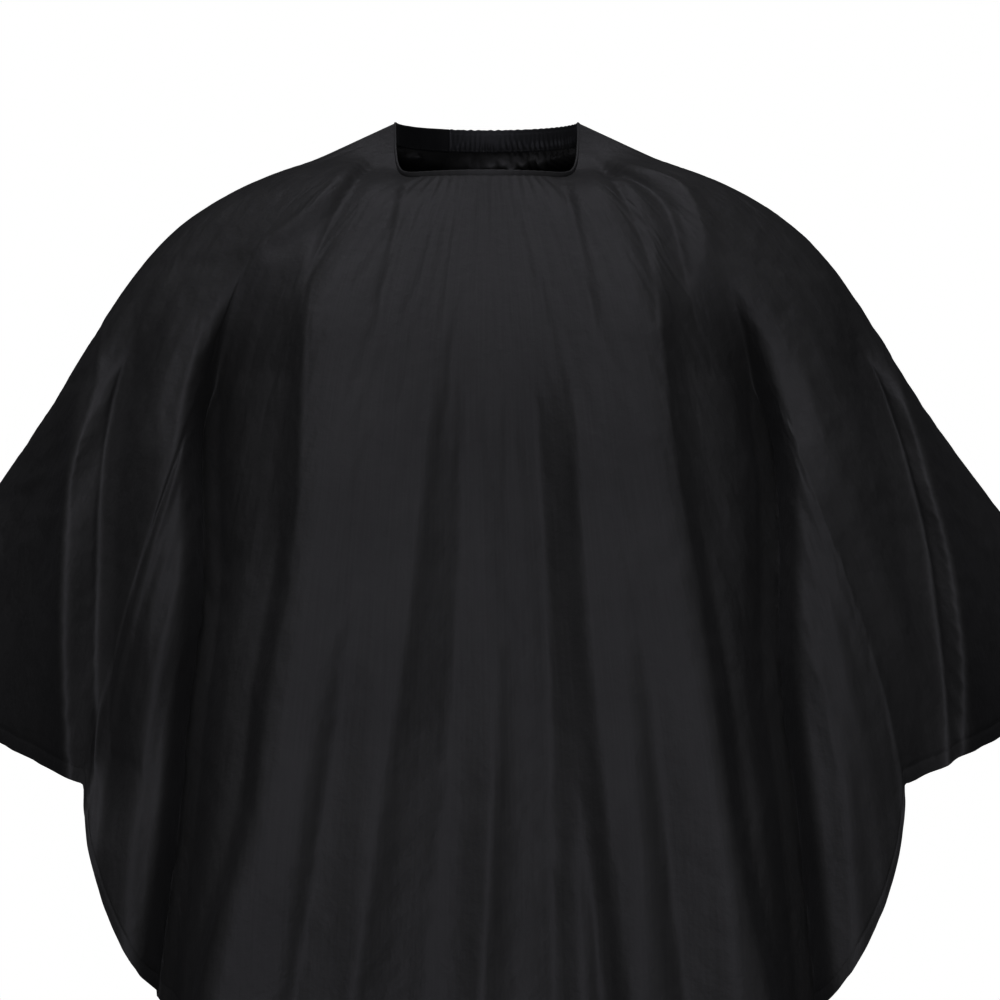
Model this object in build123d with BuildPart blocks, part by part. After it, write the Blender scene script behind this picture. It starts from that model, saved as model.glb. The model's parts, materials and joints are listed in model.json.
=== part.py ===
from build123d import *
import math
import os

os.makedirs("parts", exist_ok=True)

# Barber cape, millimetres. +Z up, +X to the viewer's right, the wearer faces -Y.
# The origin is the centre of the neck opening, level with the top of the neck band.

# ---- driving dimensions ----
NECK_RADIUS = 69.0  # inside of the neck band
FRONT_DIP = 42.0  # how far the front of the neckline hangs below the band's top
DIP_POWER = 5.0  # how early the neckline drops as it comes forward
BAND_WIDTH = 18.0
BINDING_HEIGHT = 5.0
BINDING_THICK = 1.8
BAND_RIGHT_START = 2.0  # angles round the neck, degrees from +X, counter-clockwise
BAND_SPLIT = 115.0  # where the two ends of the band meet behind the neck
BAND_LEFT_END = 178.0

FOLDED_END = 1.6  # thickness of the smooth band end and of the tab, folded cloth and stiffener
CASING = 3.4  # thickness of the gathered casing
CLOTH_WALL = 0.45  # a folded wall of cloth
TAPE = 1.0  # hook tape and loop tape
BODY_GAP = 0.3  # between pieces that move apart
SEW_GAP = 0.1  # between pieces that are sewn together

PANEL = 3.0  # thickness of the panel's stand-in shell
SIDE_REACH = 470.0  # wing tip from the neck's centre
FRONT_REACH = 200.0
BACK_REACH = 150.0
WING_TIP_Z = -423.0
CORNER_Z = -500.0  # where the wing's hem meets the front panel
CORNER_ANGLE = 27.0  # of that corner, forward of the side, seen from above
FRONT_HEM_Z = -760.0
BACK_HEM_Z = -490.0
HEM_STITCH_IN = 12.0  # stitch line from the hem's edge
SLIT_LENGTH = 130.0
SLIT_WIDTH = 3.0
SLIT_CUT_DEPTH = 80.0  # from the neck back through the cloth

THREAD = 0.3
STITCH_LENGTH = 2.2
STITCH_PITCH = 3.0


# ---- shape of the panel ----
# Each ring gives its reach to the side, front and back, and its height there.
NECK_EDGE_REACH = 74.0  # the panel's edge at the front of the neck hole
SIDE_EDGE_REACH = 76.0  # at its sides
BACK_EDGE_REACH = 79.5  # and behind, where it clears the closure tab
SEAM_STEP = 0.9  # from the lower edge of the band or binding down to the panel's edge
TAB_CLEARANCE = 2.0  # how much lower the panel's edge is under the closure tab
SIDE_RISE_ANGLE = 6.0  # behind this angle the panel's edge lies under the band
RINGS = [
    (150.0, 100.0, 95.0, -40.0, -75.0, -45.0),
    (258.0, 136.0, 120.0, -96.0, -180.0, -125.0),
    (365.0, 168.0, 137.0, -262.0, -430.0, -300.0),
]


def neckline_z(angle):
    """Height of the front neckline at an angle round the neck: steep at its sides and level in front."""
    forward = max(0.0, -math.sin(math.radians(angle)))
    return -FRONT_DIP * (1 - (1 - forward) ** DIP_POWER)


def binding_low_z(angle):
    """Height of the binding's lower edge. The binding is as wide where the neckline is steep."""
    slope = (neckline_z(angle + 0.5) - neckline_z(angle - 0.5)) / math.radians(NECK_RADIUS)
    return neckline_z(angle) - BINDING_HEIGHT * math.hypot(1, slope)


def ring_point(angle, side, front, back, side_z, front_z, back_z):
    """Reach and height of a ring in one direction."""
    across = math.cos(math.radians(angle))
    along = math.sin(math.radians(angle))
    depth, depth_z = (front, front_z) if along < 0 else (back, back_z)
    reach = 1 / math.hypot(across / side, along / depth)
    height = side_z * across**2 + depth_z * along**2
    return reach, height


corner_reach = ring_point(-CORNER_ANGLE, SIDE_REACH, FRONT_REACH, BACK_REACH, 0, 0, 0)[0]
corner_x = corner_reach * math.cos(math.radians(CORNER_ANGLE))


def hem_point(angle):
    """Reach and height of the hem: a wing hem at the side, an oval front and a shorter back."""
    reach, height = ring_point(
        angle, SIDE_REACH, FRONT_REACH, BACK_REACH, WING_TIP_Z, FRONT_HEM_Z, BACK_HEM_Z
    )
    if angle < 0:
        sideways = reach * math.cos(math.radians(angle))
        if angle < -CORNER_ANGLE:
            height = CORNER_Z + (FRONT_HEM_Z - CORNER_Z) * math.sqrt(1 - (sideways / corner_x) ** 2)
        else:
            wing_part = (SIDE_REACH - sideways) / (SIDE_REACH - corner_x)
            height = WING_TIP_Z + (CORNER_Z - WING_TIP_Z) * wing_part
    return reach, height


def neck_edge_point(angle):
    """Reach and height of the panel's edge round the neck hole."""
    if angle < 0:
        sideways = math.cos(math.radians(angle))
        reach = NECK_EDGE_REACH + (SIDE_EDGE_REACH - NECK_EDGE_REACH) * sideways
        return reach, neckline_z(angle) - BINDING_HEIGHT - SEAM_STEP
    backward = 1 - math.exp(-((angle / SIDE_RISE_ANGLE) ** 2))
    reach = SIDE_EDGE_REACH + (BACK_EDGE_REACH - SIDE_EDGE_REACH) * backward
    height = -BINDING_HEIGHT - SEAM_STEP - (BAND_WIDTH - BINDING_HEIGHT + TAB_CLEARANCE) * backward
    return reach, height


def profile(angle):
    """The panel's outer line from neck to hem in one upright plane through the neck's centre."""
    shoulder_points = [ring_point(angle, *ring) for ring in RINGS]
    return [neck_edge_point(angle)] + shoulder_points + [hem_point(angle)]


def inside_of(points, distance):
    """The same line, moved under the cloth by a distance."""
    moved = []
    for i in range(len(points)):
        before = points[max(i - 1, 0)]
        after = points[min(i + 1, len(points) - 1)]
        run = after[0] - before[0]
        rise = after[1] - before[1]
        size = math.hypot(run, rise)
        moved.append((points[i][0] + rise / size * distance, points[i][1] - run / size * distance))
    return moved


def upright_plane(angle):
    """Upright plane through the neck's centre: its x runs outward, its y runs up."""
    across = math.cos(math.radians(angle))
    along = math.sin(math.radians(angle))
    return Plane(origin=(0, 0, 0), x_dir=(across, along, 0), z_dir=(along, -across, 0))


def band_wall(inner, thickness, start, end, low, high):
    """A wall that follows the neck between two angles: a sketch to extrude upward from low."""
    with BuildPart() as wall:
        with BuildSketch(Plane.XY.offset(low)):
            with BuildLine():
                near = CenterArc((0, 0), inner, start, end - start)
                far = CenterArc((0, 0), inner + thickness, start, end - start)
                Line(near @ 0, far @ 0)
                Line(near @ 1, far @ 1)
            make_face()
        extrude(amount=high - low)
    return wall.part


def stitch_row(radius, height, start, end):
    """Upright places for a row of stitches round the neck."""
    count = int(math.radians(end - start) * radius / STITCH_PITCH)
    step = (end - start) / count
    places = []
    for i in range(count):
        angle = start + (i + 0.5) * step
        across = radius * math.cos(math.radians(angle))
        along = radius * math.sin(math.radians(angle))
        places.append(Location((across, along, height), (0, 0, angle)))
    return places


# ---- cape panel ----
SECTION_ANGLES = [-90, -75, -60, -46, -36, -30, -CORNER_ANGLE, -20, -14, -7, 0, 7, 16, 32, 52, 72, 90]

with BuildPart() as cape_panel:
    for angle in SECTION_ANGLES:
        with BuildSketch(upright_plane(angle)):
            outer_points = profile(angle)
            inner_points = inside_of(outer_points, PANEL)
            with BuildLine():
                Spline(*outer_points)
                Line(outer_points[-1], inner_points[-1])
                Spline(*reversed(inner_points))
                Line(inner_points[0], outer_points[0])
            make_face()
    loft()
    mirror(about=Plane.YZ)
    slit_x = NECK_RADIUS * math.cos(math.radians(BAND_SPLIT))
    with BuildSketch(Plane.XY):
        with Locations((slit_x, NECK_RADIUS + SLIT_CUT_DEPTH / 2)):
            Rectangle(SLIT_WIDTH, SLIT_CUT_DEPTH)
    extrude(amount=-SLIT_LENGTH, mode=Mode.SUBTRACT)
cape_panel.part.label = "cape_panel"
export_step(cape_panel.part, "parts/cape_panel.step")

# ---- neck band: smooth end and its stiffener ----
STIFFENER = FOLDED_END - 2 * CLOTH_WALL - SEW_GAP

with BuildPart() as left_band_end:
    add(band_wall(NECK_RADIUS, FOLDED_END, BAND_SPLIT, BAND_LEFT_END, -BAND_WIDTH, 0))
    add(
        band_wall(
            NECK_RADIUS + CLOTH_WALL,
            FOLDED_END - 2 * CLOTH_WALL,
            BAND_SPLIT + 1,
            BAND_LEFT_END - 1,
            -BAND_WIDTH,
            -CLOTH_WALL,
        ),
        mode=Mode.SUBTRACT,
    )
left_band_end.part.label = "left_band_end"
export_step(left_band_end.part, "parts/left_band_end.step")

with BuildPart() as left_band_interlining:
    add(
        band_wall(
            NECK_RADIUS + CLOTH_WALL + SEW_GAP / 2,
            STIFFENER,
            BAND_SPLIT + 1.2,
            BAND_LEFT_END - 1.2,
            -BAND_WIDTH + 0.5,
            -CLOTH_WALL - SEW_GAP,
        )
    )
left_band_interlining.part.label = "left_band_interlining"
export_step(left_band_interlining.part, "parts/left_band_interlining.step")

# ---- neck band: gathered casing, elastic and its tacks ----
CASING_END = BAND_SPLIT - 1.2
ELASTIC_WIDTH = 13.0
ELASTIC_THICK = 1.0
ELASTIC_START = BAND_RIGHT_START + 2
ELASTIC_END = CASING_END - 4
elastic_radius = NECK_RADIUS + CASING / 2 - ELASTIC_THICK / 2
elastic_low = -BAND_WIDTH / 2 - ELASTIC_WIDTH / 2

with BuildPart() as elastic_casing:
    add(band_wall(NECK_RADIUS, CASING, BAND_RIGHT_START, CASING_END, -BAND_WIDTH, 0))
    add(
        band_wall(
            NECK_RADIUS + CLOTH_WALL,
            CASING - 2 * CLOTH_WALL,
            BAND_RIGHT_START + 1,
            CASING_END - 1,
            -BAND_WIDTH,
            -CLOTH_WALL,
        ),
        mode=Mode.SUBTRACT,
    )
elastic_casing.part.label = "elastic_casing"
export_step(elastic_casing.part, "parts/elastic_casing.step")

with BuildPart() as neck_elastic:
    add(
        band_wall(
            elastic_radius,
            ELASTIC_THICK,
            ELASTIC_START,
            ELASTIC_END,
            elastic_low,
            elastic_low + ELASTIC_WIDTH,
        )
    )
neck_elastic.part.label = "neck_elastic"
export_step(neck_elastic.part, "parts/neck_elastic.step")

# A bar tack is a short upright line of thread across each end of the elastic.
TACK_IN = 2.0  # degrees in from the elastic's end
TACK_WIDTH = 1.6

with BuildPart() as elastic_end_tacks:
    for angle in (ELASTIC_START + TACK_IN, ELASTIC_END - TACK_IN):
        radius = elastic_radius + ELASTIC_THICK + SEW_GAP + THREAD / 2
        across = radius * math.cos(math.radians(angle))
        along = radius * math.sin(math.radians(angle))
        with Locations(Location((across, along, -BAND_WIDTH / 2), (0, 0, angle))):
            Box(THREAD, TACK_WIDTH, ELASTIC_WIDTH - 2)
elastic_end_tacks.part.label = "elastic_end_tacks"
export_step(elastic_end_tacks.part, "parts/elastic_end_tacks.step")

# ---- touch-and-close tape: loop side on the smooth band end ----
TAPE_HEIGHT = 15.0
tape_low = -BAND_WIDTH / 2 - TAPE_HEIGHT / 2
LOOP_START = BAND_SPLIT + 2
LOOP_END = BAND_SPLIT + 42
TAPE_STITCH_IN = 1.6  # stitch line from the tape's edge
GROOVE = 0.4  # how deep the stitches sink into the tape
GROOVE_HEIGHT = 0.6

loop_radius = NECK_RADIUS + FOLDED_END + SEW_GAP
loop_stitch_levels = (tape_low + TAPE_STITCH_IN, tape_low + TAPE_HEIGHT - TAPE_STITCH_IN)

with BuildPart() as loop_tape:
    add(band_wall(loop_radius, TAPE, LOOP_START, LOOP_END, tape_low, tape_low + TAPE_HEIGHT))
    for level in loop_stitch_levels:
        add(
            band_wall(
                loop_radius + TAPE - GROOVE,
                2 * GROOVE,
                LOOP_START - 1,
                LOOP_END + 1,
                level - GROOVE_HEIGHT / 2,
                level + GROOVE_HEIGHT / 2,
            ),
            mode=Mode.SUBTRACT,
        )
loop_tape.part.label = "loop_tape"
export_step(loop_tape.part, "parts/loop_tape.step")

with BuildPart() as loop_tape_stitching:
    for level in loop_stitch_levels:
        radius = loop_radius + TAPE - GROOVE / 2
        with Locations(*stitch_row(radius, level, LOOP_START + 1, LOOP_END - 1)):
            Box(THREAD, STITCH_LENGTH, THREAD)
loop_tape_stitching.part.label = "loop_tape_stitching"
export_step(loop_tape_stitching.part, "parts/loop_tape_stitching.step")

# ---- closure tab: it peels outward about the line where it leaves the casing ----
TAB_START = BAND_SPLIT - 0.6
TAB_END = BAND_SPLIT + 46
TAB_CORNER = 4.0
SEWN_START = BAND_SPLIT - 12
SEWN_END = BAND_SPLIT - 1.1
tab_radius = loop_radius + TAPE + BODY_GAP + TAPE + SEW_GAP
HOOK_START = LOOP_START + 3
HOOK_END = LOOP_END - 1
hook_radius = loop_radius + TAPE + BODY_GAP

with BuildPart() as closure_tab:
    add(band_wall(tab_radius, FOLDED_END, TAB_START, TAB_END, -BAND_WIDTH, 0))
    tip_edges = closure_tab.edges().filter_by(lambda edge: edge.length < 2 * FOLDED_END)
    fillet(tip_edges.sort_by(Axis.X)[0:2], TAB_CORNER)
    add(
        band_wall(
            tab_radius + CLOTH_WALL,
            FOLDED_END - 2 * CLOTH_WALL,
            TAB_START - 1,
            TAB_END - 4,
            -BAND_WIDTH + CLOTH_WALL,
            -CLOTH_WALL,
        ),
        mode=Mode.SUBTRACT,
    )
closure_tab.part.label = "closure_tab"
export_step(closure_tab.part, "parts/closure_tab.step")

with BuildPart() as tab_interlining:
    add(
        band_wall(
            tab_radius + CLOTH_WALL + SEW_GAP / 2,
            STIFFENER,
            TAB_START + 0.5,
            TAB_END - 4.2,
            -BAND_WIDTH + CLOTH_WALL + SEW_GAP,
            -CLOTH_WALL - SEW_GAP,
        )
    )
tab_interlining.part.label = "tab_interlining"
export_step(tab_interlining.part, "parts/tab_interlining.step")

with BuildPart() as hook_tape:
    add(band_wall(hook_radius, TAPE, HOOK_START, HOOK_END, tape_low, tape_low + TAPE_HEIGHT))
hook_tape.part.label = "hook_tape"
export_step(hook_tape.part, "parts/hook_tape.step")

outer_stitch_radius = tab_radius + FOLDED_END + SEW_GAP + THREAD / 2

with BuildPart() as hook_tape_stitching:
    for level in loop_stitch_levels:
        with Locations(*stitch_row(outer_stitch_radius, level, HOOK_START + 1, HOOK_END - 1)):
            Box(THREAD, STITCH_LENGTH, THREAD)
hook_tape_stitching.part.label = "hook_tape_stitching"
export_step(hook_tape_stitching.part, "parts/hook_tape_stitching.step")

with BuildPart() as closure_tab_sewn_end:
    sewn_inner = NECK_RADIUS + CASING + SEW_GAP
    sewn_thickness = tab_radius + FOLDED_END - sewn_inner
    add(band_wall(sewn_inner, sewn_thickness, SEWN_START, SEWN_END, -BAND_WIDTH, 0))
closure_tab_sewn_end.part.label = "closure_tab_sewn_end"
export_step(closure_tab_sewn_end.part, "parts/closure_tab_sewn_end.step")

with BuildPart() as sewn_end_stitching:
    for level in loop_stitch_levels:
        with Locations(*stitch_row(outer_stitch_radius, level, SEWN_START + 1, SEWN_END - 1)):
            Box(THREAD, STITCH_LENGTH, THREAD)
    for angle in (SEWN_START + 1.5, SEWN_END - 1.5):
        across = outer_stitch_radius * math.cos(math.radians(angle))
        along = outer_stitch_radius * math.sin(math.radians(angle))
        with Locations(Location((across, along, -BAND_WIDTH / 2), (0, 0, angle))):
            Box(THREAD, THREAD, TAPE_HEIGHT - 5)
sewn_end_stitching.part.label = "sewn_end_stitching"
export_step(sewn_end_stitching.part, "parts/sewn_end_stitching.step")

# ---- band seam: the stitches that join the band to the panel ----
SEAM_UP = 1.2  # seam line above the band's lower edge

with BuildPart() as band_seam_stitching:
    casing_radius = NECK_RADIUS + CASING + SEW_GAP + THREAD / 2
    seam_level = -BAND_WIDTH + SEAM_UP
    with Locations(*stitch_row(casing_radius, seam_level, BAND_RIGHT_START + 1, SEWN_START - 1)):
        Box(THREAD, STITCH_LENGTH, THREAD)
    end_radius = NECK_RADIUS + FOLDED_END + SEW_GAP + THREAD / 2
    with Locations(*stitch_row(end_radius, seam_level, LOOP_END + 6, BAND_LEFT_END - 1)):
        Box(THREAD, STITCH_LENGTH, THREAD)
band_seam_stitching.part.label = "band_seam_stitching"
export_step(band_seam_stitching.part, "parts/band_seam_stitching.step")

# ---- front neckline: folded binding and its stitches ----
BINDING_RADIUS = NECK_RADIUS + 0.5  # it stands a little off the neck
BINDING_END = BAND_RIGHT_START - 1
BINDING_ANGLES = [-90, -87, -82, -76, -68, -60, -52, -45, -38, -31, -25, -19, -14, -10, -7, -4.5, -2, 0]
BINDING_ANGLES += [BINDING_END]
BINDING_STITCH_START = -12.0  # the stitches stay on the level part

with BuildPart() as front_neck_binding:
    for angle in BINDING_ANGLES:
        with BuildSketch(upright_plane(angle)):
            with BuildLine():
                Polyline(
                    (BINDING_RADIUS, neckline_z(angle)),
                    (BINDING_RADIUS + BINDING_THICK, neckline_z(angle)),
                    (BINDING_RADIUS + BINDING_THICK, binding_low_z(angle)),
                    (BINDING_RADIUS, binding_low_z(angle)),
                    close=True,
                )
            make_face()
    loft()
    mirror(about=Plane.YZ)
front_neck_binding.part.label = "front_neck_binding"
export_step(front_neck_binding.part, "parts/front_neck_binding.step")

with BuildPart() as front_binding_stitching:
    binding_radius = BINDING_RADIUS + BINDING_THICK + SEW_GAP + THREAD / 2
    for place in stitch_row(binding_radius, 0, -180 - BINDING_STITCH_START, BINDING_STITCH_START):
        angle = math.degrees(math.atan2(place.position.Y, place.position.X))
        slope = (neckline_z(angle + 0.5) - neckline_z(angle - 0.5)) / math.radians(binding_radius)
        height = binding_low_z(angle) + SEAM_UP
        turn = Location((place.position.X, place.position.Y, height), (0, 0, angle))
        tilt = Location((0, 0, 0), (math.degrees(math.atan(slope)), 0, 0))
        with Locations(turn * tilt):
            Box(THREAD, STITCH_LENGTH, THREAD)
front_binding_stitching.part.label = "front_binding_stitching"
export_step(front_binding_stitching.part, "parts/front_binding_stitching.step")

# ---- hem stitching: one thread line round the whole hem, on the outside ----
STITCH_LINE = 0.8  # width of the line
HEM_LINE_GAP = 0.8  # from the panel's face


def hem_line_section(angle):
    """Corners of the thread line's small section, in the upright plane at an angle."""
    outer_line = Spline(*profile(angle))
    corners = []
    for along, away in (
        (HEM_STITCH_IN, HEM_LINE_GAP),
        (HEM_STITCH_IN + STITCH_LINE, HEM_LINE_GAP),
        (HEM_STITCH_IN + STITCH_LINE, HEM_LINE_GAP + THREAD),
        (HEM_STITCH_IN, HEM_LINE_GAP + THREAD),
    ):
        place = outer_line.position_at(1 - along / outer_line.length)
        downward = outer_line.tangent_at(1 - along / outer_line.length)
        corners.append((place.X - downward.Y * away, place.Y + downward.X * away))
    return corners


hem_line_sections = {angle: hem_line_section(angle) for angle in SECTION_ANGLES}

with BuildPart() as hem_stitching:
    for angle in SECTION_ANGLES:
        with BuildSketch(upright_plane(angle)):
            with BuildLine():
                Polyline(*hem_line_sections[angle], close=True)
            make_face()
    loft()
    mirror(about=Plane.YZ)
    add(cape_panel.part, mode=Mode.SUBTRACT)
hem_stitching.part.label = "hem_stitching"
export_step(hem_stitching.part, "parts/hem_stitching.step")

# ---- slit: a bar tack stops it tearing at its lower end ----
BAR_TACK_WIDTH = 8.0
BAR_TACK_HEIGHT = 2.0
BAR_TACK_BELOW = 5.0  # below the slit's end
BAR_TACK_LIFT = 0.6  # off the back's middle line, because the cloth curves round it

back_line = Spline(*profile(90))
tack_z = -SLIT_LENGTH - BAR_TACK_BELOW
tack_part = 0.0
while (back_line @ tack_part).Y > tack_z:
    tack_part += 0.001
tack_y = (back_line @ tack_part).X + BAR_TACK_LIFT

with BuildPart() as slit_bar_tack:
    with Locations((slit_x, tack_y, tack_z)):
        Box(BAR_TACK_WIDTH, THREAD, BAR_TACK_HEIGHT)
    add(cape_panel.part, mode=Mode.SUBTRACT)
slit_bar_tack.part.label = "slit_bar_tack"
export_step(slit_bar_tack.part, "parts/slit_bar_tack.step")

# ---- care label: small, blank, inside the back hem ----
LABEL_WIDTH = 24.0
LABEL_HEIGHT = 16.0
LABEL_THICK = 0.3
LABEL_GAP = 3.0  # to the panel, which curves behind the flat label
LABEL_RAISE = 4.0  # its lower edge above the back hem
LABEL_STITCHES = 7
label_y = BACK_REACH - PANEL - LABEL_GAP - LABEL_THICK / 2
label_z = BACK_HEM_Z + LABEL_RAISE + LABEL_HEIGHT / 2
label_stitch_y = label_y - LABEL_THICK / 2 - SEW_GAP - THREAD / 2
label_stitch_z = label_z - LABEL_HEIGHT / 2 + TAPE_STITCH_IN

with BuildPart() as care_label:
    with Locations((0, label_y, label_z)):
        Box(LABEL_WIDTH, LABEL_THICK, LABEL_HEIGHT)
care_label.part.label = "care_label"
export_step(care_label.part, "parts/care_label.step")

with BuildPart() as care_label_stitching:
    with Locations((0, label_stitch_y, label_stitch_z)):
        with GridLocations(STITCH_PITCH, 1, LABEL_STITCHES, 1):
            Box(STITCH_LENGTH, THREAD, THREAD)
care_label_stitching.part.label = "care_label_stitching"
export_step(care_label_stitching.part, "parts/care_label_stitching.step")
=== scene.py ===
import json
import math

import bpy
import numpy as np
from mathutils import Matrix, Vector


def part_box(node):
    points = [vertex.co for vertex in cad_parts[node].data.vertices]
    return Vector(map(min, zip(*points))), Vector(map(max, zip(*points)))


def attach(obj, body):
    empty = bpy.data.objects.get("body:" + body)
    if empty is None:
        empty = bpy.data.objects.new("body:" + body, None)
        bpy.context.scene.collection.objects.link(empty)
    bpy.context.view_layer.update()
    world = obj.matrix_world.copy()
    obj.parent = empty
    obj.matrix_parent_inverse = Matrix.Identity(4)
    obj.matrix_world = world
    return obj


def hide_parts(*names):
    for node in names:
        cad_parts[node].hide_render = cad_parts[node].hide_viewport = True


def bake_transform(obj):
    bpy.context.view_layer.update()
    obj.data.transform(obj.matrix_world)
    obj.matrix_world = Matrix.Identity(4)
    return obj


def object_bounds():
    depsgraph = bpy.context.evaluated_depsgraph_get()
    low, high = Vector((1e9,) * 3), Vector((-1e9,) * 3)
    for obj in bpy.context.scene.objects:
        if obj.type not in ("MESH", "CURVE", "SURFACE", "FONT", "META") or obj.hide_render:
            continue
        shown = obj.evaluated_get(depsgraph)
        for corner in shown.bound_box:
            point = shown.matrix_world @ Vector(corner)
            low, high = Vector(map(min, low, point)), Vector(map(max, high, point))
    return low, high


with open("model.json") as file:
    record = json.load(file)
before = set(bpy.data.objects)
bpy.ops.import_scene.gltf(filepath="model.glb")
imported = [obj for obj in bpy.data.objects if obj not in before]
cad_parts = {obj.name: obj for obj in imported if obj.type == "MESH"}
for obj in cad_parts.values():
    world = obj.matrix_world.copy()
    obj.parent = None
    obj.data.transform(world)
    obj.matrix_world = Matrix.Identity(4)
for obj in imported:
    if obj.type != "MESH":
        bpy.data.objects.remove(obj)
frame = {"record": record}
cad_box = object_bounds()

# Barber cape, metres. +Z up, the wearer faces -Y, the origin is the centre of the neck opening.

# ---- sizes from the frame ----
cad_low, cad_high = cad_box
mount = frame["record"]["mounts"][0]
NECK = mount["dims"]["r_mm"] / 1000
band_low, band_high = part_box("left_band_end")
BAND = band_high.z - band_low.z
binding_box_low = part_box("front_neck_binding")[0]
BINDING = 0.005  # height of the folded binding
DIP = -binding_box_low.z - BINDING  # the front neckline below the band's top
SIDE = cad_high.x
FRONT_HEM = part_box("cape_panel")[0].z
SPLIT = math.radians(115)  # where the band's two ends meet behind the neck

# ---- the eye that looks at the cape from the front ----
EYE_HEIGHT = -0.291
EYE_DISTANCE = 3.2
SEEN_WIDTH = 0.770  # what the picture's width covers at the neck's distance

# ---- shape of the hanging panel ----
WING_TIP = -0.423  # height of the wing hem at its tip
CORNER = -0.500  # height where the wing's hem meets the front of the panel
CORNER_X = 0.301  # how far to the side that is
BACK_HEM = -0.490
SLIT = 0.130  # length of the slit behind
NECKLINE_POWER = 5  # a higher one makes the neckline steeper at its sides
EDGE_OUT = 0.0016  # how far outside the neck the panel's edge is
EDGE_DOWN = 0.0010  # how far below the top of the binding or band it is
IN_BINDING = 0.0026  # how much lower it lies in the front binding
# Rings round the body: reach to the side, front and back, and their heights there.
RINGS = [
    (0.142, 0.090, 0.092, -0.033, -0.082, -0.043),
    (0.236, 0.124, 0.111, -0.081, -0.150, -0.105),
    (0.277, 0.138, 0.121, -0.127, -0.205, -0.155),
    (0.335, 0.158, 0.133, -0.219, -0.330, -0.250),
    (0.466, 0.196, 0.150, -0.428, -0.600, -0.490),
    (0.490, 0.205, 0.155, -0.600, -0.860, -0.600),  # below the hem, so the cut leaves no crease
]
LINE_POINTS = 900  # points of a smooth line
COLUMNS = 360
ROWS = 84
FRONT_FINER = 1.5  # how much closer together the columns stand in front
VALLEY_FINER = 1.3  # and how much more at the deep valleys
VALLEY_X = 0.225
VALLEY_HALF = 0.030


def neckline(u):
    """Height of the front neckline at an angle round the neck."""
    return -DIP * (1 - (1 - max(0.0, -math.sin(u))) ** NECKLINE_POWER)


def binding_low(u):
    """The binding's lower edge. The binding is as wide where the neckline is steep."""
    step = 0.01
    slope = (neckline(u + step) - neckline(u - step)) / (2 * step) / NECK
    return neckline(u) - BINDING * math.hypot(1, slope)


def ring_point(u, side, front, back, side_z, front_z, back_z):
    """The (reach, z) of a ring in one direction."""
    across, along = math.cos(u), math.sin(u)
    depth, depth_z = (front, front_z) if along < 0 else (back, back_z)
    return 1 / math.hypot(across / side, along / depth), side_z * across**2 + depth_z * along**2


def right_half(u):
    """The same direction on the right half, from -90 degrees in front to 90 behind."""
    u = (u + math.pi) % (2 * math.pi) - math.pi
    if u > math.pi / 2:
        return math.pi - u
    return -math.pi - u if u < -math.pi / 2 else u


def hem_height(u, x):
    """Height of the cut edge: wing hems at the sides, a long oval front and a shorter back."""
    if u > 0:
        return WING_TIP * math.cos(u) ** 2 + BACK_HEM * math.sin(u) ** 2
    if x > CORNER_X:
        return WING_TIP + (CORNER - WING_TIP) * (SIDE - x) / (SIDE - CORNER_X)
    return CORNER + (FRONT_HEM - CORNER) * math.sqrt(1 - (x / CORNER_X) ** 2)


def neck_point(u):
    """The panel's edge: inside the binding in front, at the lower edge of the band behind."""
    if u < 0:
        return NECK + EDGE_OUT, neckline(u) - EDGE_DOWN - IN_BINDING * min(1.0, -u / 0.3)
    behind = 1 - math.exp(-((u / math.radians(16)) ** 2))
    return NECK + EDGE_OUT + EDGE_OUT / 2 * behind, -EDGE_DOWN - (BAND - 2 * EDGE_DOWN) * behind


def smooth_line(points):
    """A natural cubic curve through 2-D points."""
    p = np.array(points)
    at = np.r_[0, np.cumsum(np.hypot(*np.diff(p, axis=0).T))]
    n, step = len(p), np.diff(at)
    a, b = np.eye(n), np.zeros((n, 2))
    for i in range(1, n - 1):
        a[i, i - 1 : i + 2] = step[i - 1], 2 * (step[i - 1] + step[i]), step[i]
        b[i] = 6 * ((p[i + 1] - p[i]) / step[i] - (p[i] - p[i - 1]) / step[i - 1])
    bend = np.linalg.solve(a, b)
    s = np.linspace(0, at[-1], LINE_POINTS)
    k = np.clip(np.searchsorted(at, s, side="right") - 1, 0, n - 2)
    x, h = (s - at[k])[:, None], step[k][:, None]
    line = bend[k] * (h - x) ** 3 / (6 * h) + bend[k + 1] * x**3 / (6 * h)
    return line + (p[k] / h - bend[k] * h / 6) * (h - x) + (p[k + 1] / h - bend[k + 1] * h / 6) * x


def side_line(u):
    """The panel's line from neck to hem in one direction, as (reach, z) points."""
    half = right_half(u)
    line = smooth_line([neck_point(half)] + [ring_point(half, *ring) for ring in RINGS])
    near_neck = 20  # points of the line that can't be at the hem
    for k in range(near_neck, len(line)):
        if line[k, 1] <= hem_height(half, line[k, 0] * math.cos(half)):
            return line[: k + 1]
    return line


def panel_directions():
    """Directions of the columns, from the slit all the way round, closest together in front."""
    u = np.linspace(-math.pi, math.pi, 1201)
    hem = []
    for angle in u:
        reach, z = side_line(angle)[-1]
        hem.append((reach * math.cos(angle), reach * math.sin(angle), z))
    hem = np.array(hem)
    weight = np.linalg.norm(np.diff(hem, axis=0), axis=1)
    middle = (hem[1:, 0] + hem[:-1, 0]) / 2
    in_front = np.sin((u[1:] + u[:-1]) / 2) < 0.05
    valley = np.exp(-(((abs(middle) - VALLEY_X) / VALLEY_HALF) ** 2))
    weight *= np.where(in_front, FRONT_FINER + VALLEY_FINER * valley, 1.0)
    run = np.r_[0, np.cumsum(weight + 0.0004)]
    start = np.interp(SPLIT, u, run)
    return np.interp((start + np.linspace(0, run[-1], COLUMNS + 1)) % run[-1], run, u)


def rise(value, low, high):
    """Goes smoothly from 0 at the low end to 1 at the high one."""
    t = np.clip((value - low) / (high - low), 0, 1)
    return t * t * (3 - 2 * t)


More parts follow.
